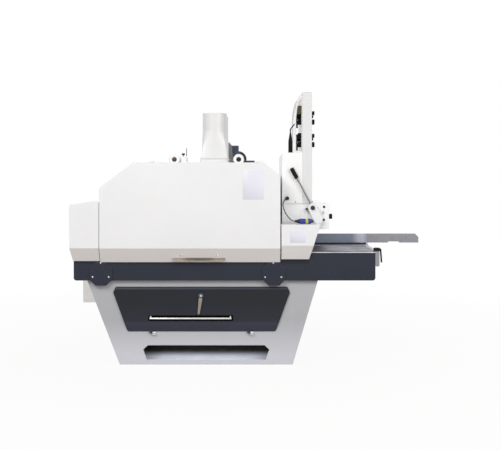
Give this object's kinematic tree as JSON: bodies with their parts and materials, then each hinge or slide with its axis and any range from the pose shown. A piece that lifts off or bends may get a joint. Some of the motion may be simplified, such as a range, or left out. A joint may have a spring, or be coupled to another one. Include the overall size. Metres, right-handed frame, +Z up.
{
  "type": "multi-rip saw",
  "caption": "Floor-standing multi-blade rip saw with slat-chain feed, hinged hood, pressure rollers, kickback fingers, dust ports, operator console and side fence.",
  "frame": {"origin": "middle of the base's underside on the floor", "axes": "+X along the feed line towards the infeed end, +Y from the operator's side to the back, +Z up"},
  "size_m": [2.726, 1.366, 1.968],
  "materials": {
    "white_paint": "smooth semi-gloss enamel",
    "grey_paint": "smooth semi-gloss enamel",
    "dark_paint": "fine textured anthracite paint",
    "housing_paint": "satin grey enamel",
    "motor_paint": "dark motor enamel",
    "steel": "ground and brushed",
    "blade_steel": "ground flat",
    "chrome": "polished plating",
    "iron": "machined cast iron",
    "black_plastic": "moulded, fine grain",
    "pale_plastic": "translucent moulded body",
    "blue_plastic": "moulded, smooth",
    "rubber": "matt black"
  },
  "bodies": {
    "frame": {"hood_shell": "white_paint", "outfeed_cover": "white_paint", "infeed_side_cover": "white_paint", "infeed_hood": "white_paint", "dust_ports": "white_paint", "console_panel": "white_paint", "finger_housing": "white_paint", "lifting_eyes": "white_paint", "base_front": "grey_paint", "base_walls": "grey_paint", "base_decks": "grey_paint", "electrical_cabinet": "grey_paint", "bed_front_plate": "dark_paint", "bed_frame": "dark_paint", "shaft_covers": "dark_paint", "column": "housing_paint", "feed_gearmotor": "motor_paint", "lift_motor": "motor_paint", "fence_rail": "steel", "lubricator": "pale_plastic", "tables": "iron", "feed_chain": "iron", "console_wiring": "black_plastic", "cabinet_gear": "black_plastic", "position_sensor": "blue_plastic", "sensor_cord": "rubber"},
    "hood_door": {"hood_door": "white_paint", "door_handle": "steel"},
    "service_door": {"service_door": "dark_paint", "service_handle": "steel"},
    "service_latch": {"service_latch": "chrome"},
    "drive_shaft": {"drive_shaft": "steel"},
    "idler_shaft": {"idler_shaft": "steel"},
    "saw_carriage": {"saw_carriage": "housing_paint", "belt_case": "grey_paint", "main_motor": "motor_paint", "v_belts": "rubber"},
    "arbor": {"arbor": "steel", "saw_blades": "blade_steel", "arbor_collars": "steel"},
    "motor_pulley": {"motor_pulley": "steel"},
    "infeed_beam": {"infeed_beam": "housing_paint"},
    "outfeed_beam": {"outfeed_beam": "housing_paint"},
    "pressure_roller_1": {"pressure_roller_1": "steel"},
    "pressure_roller_2": {"pressure_roller_2": "steel"},
    "pressure_roller_3": {"pressure_roller_3": "steel"},
    "kickback_lever": {"kickback_lever": "steel", "lever_grip": "black_plastic"},
    "kickback_fingers": {"kickback_fingers": "blade_steel"},
    "star_knob": {"star_knob": "black_plastic"},
    "fence": {"fence": "steel"},
    "fence_clamp": {"fence_clamp": "black_plastic"},
    "cabinet_door": {"cabinet_door": "grey_paint"},
    "lubricator_knob": {"lubricator_knob": "black_plastic"},
    "upper_selector": {"upper_selector": "black_plastic"},
    "upper_button": {"upper_button": "black_plastic"},
    "upper_mushroom": {"upper_mushroom": "black_plastic"},
    "lower_selector": {"lower_selector": "black_plastic"},
    "lower_button": {"lower_button": "black_plastic"},
    "lower_mushroom": {"lower_mushroom": "black_plastic"}
  },
  "joints": [
    {"name": "hood_door_lift", "type": "hinge", "parent": "frame", "child": "hood_door", "pos_m": [0, -0.5, 1.456], "axis": [-1, 0, 0], "range_deg": [0, 90]},
    {"name": "service_door_drop", "type": "hinge", "parent": "frame", "child": "service_door", "pos_m": [-0.033, -0.486, 0.2327], "axis": [1, 0, 0], "range_deg": [0, 95]},
    {"name": "service_latch_turn", "type": "hinge", "parent": "service_door", "child": "service_latch", "pos_m": [-0.037, -0.4805, 0.496], "axis": [0, 1, 0], "range_deg": [0, 80]},
    {"name": "drive_shaft_spin", "type": "hinge", "parent": "frame", "child": "drive_shaft", "pos_m": [-0.7508, -0.11, 0.70325], "axis": [0, 1, 0], "continuous": true},
    {"name": "idler_shaft_spin", "type": "hinge", "parent": "frame", "child": "idler_shaft", "pos_m": [0.485, -0.11, 0.70325], "axis": [0, 1, 0], "continuous": true},
    {"name": "saw_carriage_lift", "type": "slide", "parent": "frame", "child": "saw_carriage", "axis": [0, 0, 1], "range_m": [0, 0.06]},
    {"name": "arbor_spin", "type": "hinge", "parent": "saw_carriage", "child": "arbor", "pos_m": [-0.03, -0.11, 0.974], "axis": [0, 1, 0], "continuous": true},
    {"name": "motor_pulley_spin", "type": "hinge", "parent": "saw_carriage", "child": "motor_pulley", "pos_m": [0.33, 0.409, 0.914], "axis": [0, 1, 0], "continuous": true},
    {"name": "infeed_beam_lift", "type": "slide", "parent": "frame", "child": "infeed_beam", "axis": [0, 0, 1], "range_m": [0, 0.08]},
    {"name": "outfeed_beam_lift", "type": "slide", "parent": "frame", "child": "outfeed_beam", "axis": [0, 0, 1], "range_m": [0, 0.08]},
    {"name": "pressure_roller_1_spin", "type": "hinge", "parent": "infeed_beam", "child": "pressure_roller_1", "pos_m": [0.195, -0.11, 0.894], "axis": [0, 1, 0], "continuous": true},
    {"name": "pressure_roller_2_spin", "type": "hinge", "parent": "infeed_beam", "child": "pressure_roller_2", "pos_m": [0.305, -0.11, 0.894], "axis": [0, 1, 0], "continuous": true},
    {"name": "pressure_roller_3_spin", "type": "hinge", "parent": "outfeed_beam", "child": "pressure_roller_3", "pos_m": [-0.27, -0.11, 0.894], "axis": [0, 1, 0], "continuous": true},
    {"name": "finger_lift", "type": "hinge", "parent": "frame", "child": "kickback_fingers", "pos_m": [0.69, -0.11, 1.014], "axis": [0, 1, 0], "range_deg": [0, 39.2]},
    {"name": "release_lever_swing", "type": "hinge", "parent": "frame", "child": "kickback_lever", "pos_m": [0.77, -0.11, 1.122], "axis": [0, 1, 0], "range_deg": [0, 28]},
    {"name": "star_knob_turn", "type": "hinge", "parent": "frame", "child": "star_knob", "pos_m": [0.891, -0.32, 1.057], "axis": [1, 0, 0], "continuous": true},
    {"name": "fence_slide", "type": "slide", "parent": "frame", "child": "fence", "axis": [0, 1, 0], "range_m": [-0.3, 0]},
    {"name": "fence_clamp_turn", "type": "hinge", "parent": "frame", "child": "fence_clamp", "pos_m": [1.2245, -0.465, 0.814], "axis": [0, 0, 1], "range_deg": [-30, 30]},
    {"name": "cabinet_door_swing", "type": "hinge", "parent": "frame", "child": "cabinet_door", "pos_m": [-1.054, 0.71, 0.71], "axis": [0, 0, 1], "range_deg": [0, 110]},
    {"name": "lubricator_press", "type": "slide", "parent": "frame", "child": "lubricator_knob", "axis": [0, 0, 1], "range_m": [-0.009, 0], "stiffness_N_per_m": 400},
    {"name": "upper_selector_turn", "type": "hinge", "parent": "frame", "child": "upper_selector", "pos_m": [0.766, -0.202, 1.824], "axis": [1, 0, 0], "range_deg": [-45, 45]},
    {"name": "upper_button_press", "type": "slide", "parent": "frame", "child": "upper_button", "axis": [1, 0, 0], "range_m": [-0.004, 0], "stiffness_N_per_m": 800},
    {"name": "upper_mushroom_press", "type": "slide", "parent": "frame", "child": "upper_mushroom", "axis": [1, 0, 0], "range_m": [-0.006, 0], "stiffness_N_per_m": 800},
    {"name": "lower_selector_turn", "type": "hinge", "parent": "frame", "child": "lower_selector", "pos_m": [0.766, -0.202, 1.655], "axis": [1, 0, 0], "range_deg": [-45, 45]},
    {"name": "lower_button_press", "type": "slide", "parent": "frame", "child": "lower_button", "axis": [1, 0, 0], "range_m": [-0.004, 0], "stiffness_N_per_m": 800},
    {"name": "lower_mushroom_press", "type": "slide", "parent": "frame", "child": "lower_mushroom", "axis": [1, 0, 0], "range_m": [-0.006, 0], "stiffness_N_per_m": 800}
  ],
  "couplings": [
    {"joint": "idler_shaft_spin", "follows": "drive_shaft_spin", "ratio": 1},
    {"joint": "motor_pulley_spin", "follows": "arbor_spin", "ratio": 0.82353},
    {"joint": "outfeed_beam_lift", "follows": "infeed_beam_lift", "ratio": 1},
    {"joint": "release_lever_swing", "follows": "finger_lift", "ratio": 0.71429}
  ]
}
